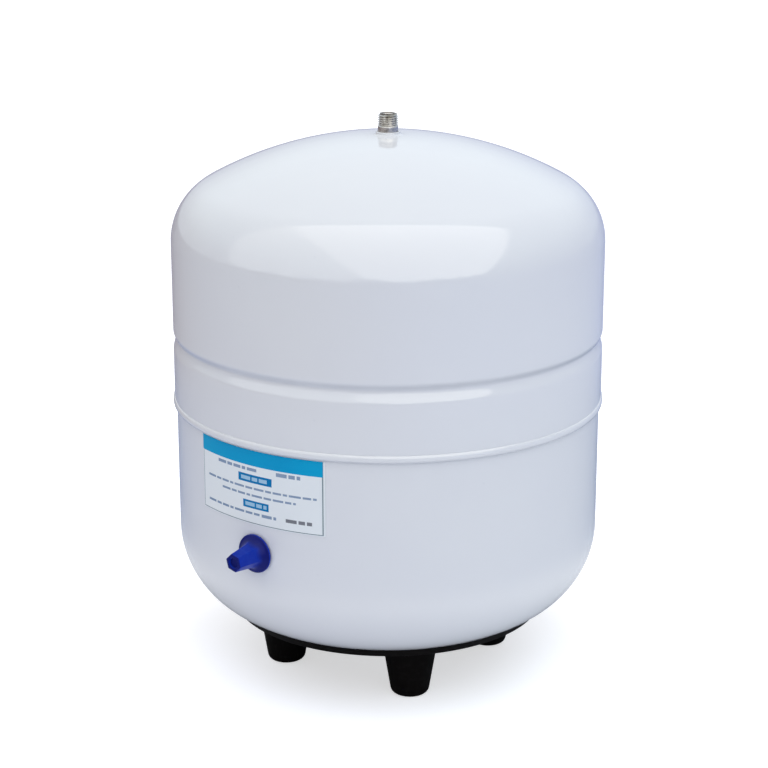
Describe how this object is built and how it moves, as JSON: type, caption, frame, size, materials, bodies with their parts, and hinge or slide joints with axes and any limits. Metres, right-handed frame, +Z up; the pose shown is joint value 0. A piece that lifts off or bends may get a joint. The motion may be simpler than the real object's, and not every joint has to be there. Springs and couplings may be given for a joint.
{
  "type": "reverse osmosis pressure tank",
  "caption": "White two-part steel pressure tank with a domed top, threaded water port, side air valve under a blue screw cap, and a black legged stand.",
  "frame": {"origin": "centre of the whole part's footprint box, on the floor under the feet; the tank's own axis stands 9.75 mm behind it, because the valve cap sticks out in front", "axes": "+Z up along the tank's axis to the water port, -Y out along the air valve, +X to the right seen from the valve"},
  "size_m": [0.282, 0.3014, 0.369],
  "materials": {
    "white_paint": "gloss",
    "stainless_steel": "satin",
    "zinc_plate": "satin",
    "brass": "satin",
    "black_plastic": "matte",
    "blue_plastic": "satin",
    "liner_plastic": "satin",
    "butyl_rubber": "matte",
    "seal_rubber": "matte",
    "label_film": "gloss"
  },
  "bodies": {
    "tank": {"upper_shell": "white_paint", "lower_shell": "white_paint", "water_connector": "stainless_steel", "connector_o_ring": "seal_rubber", "liner_nut": "stainless_steel", "water_liner": "liner_plastic", "diaphragm": "butyl_rubber", "clench_ring": "zinc_plate", "label": "label_film", "base_stand": "black_plastic", "valve_stem": "brass", "valve_inner_seal": "seal_rubber", "valve_flat_washer": "zinc_plate", "valve_nut": "brass", "core_body": "brass", "core_gasket": "seal_rubber", "core_spring": "stainless_steel"},
    "cap_carrier": {"cap_seal": "seal_rubber"},
    "cap": {"valve_cap": "blue_plastic"},
    "pin": {"core_pin": "stainless_steel", "core_seal": "seal_rubber"}
  },
  "joints": [
    {"name": "cap_travel", "type": "slide", "parent": "tank", "child": "cap_carrier", "axis": [0, -1, 0], "range_m": [0, 0.008]},
    {"name": "cap_turn", "type": "hinge", "parent": "cap_carrier", "child": "cap", "pos_m": [0, -0.12895, 0.11316], "axis": [0, -1, 0], "range_deg": [0, 3600]},
    {"name": "core_pin_push", "type": "slide", "parent": "tank", "child": "pin", "axis": [0, 1, 0], "range_m": [0, 0.0013], "stiffness_N_per_m": 300, "springref_m": -0.003, "deforming": ["core_spring"]}
  ],
  "couplings": [
    {"joint": "cap_travel", "follows": "cap_turn", "m_per_rad": 0.00012637}
  ]
}
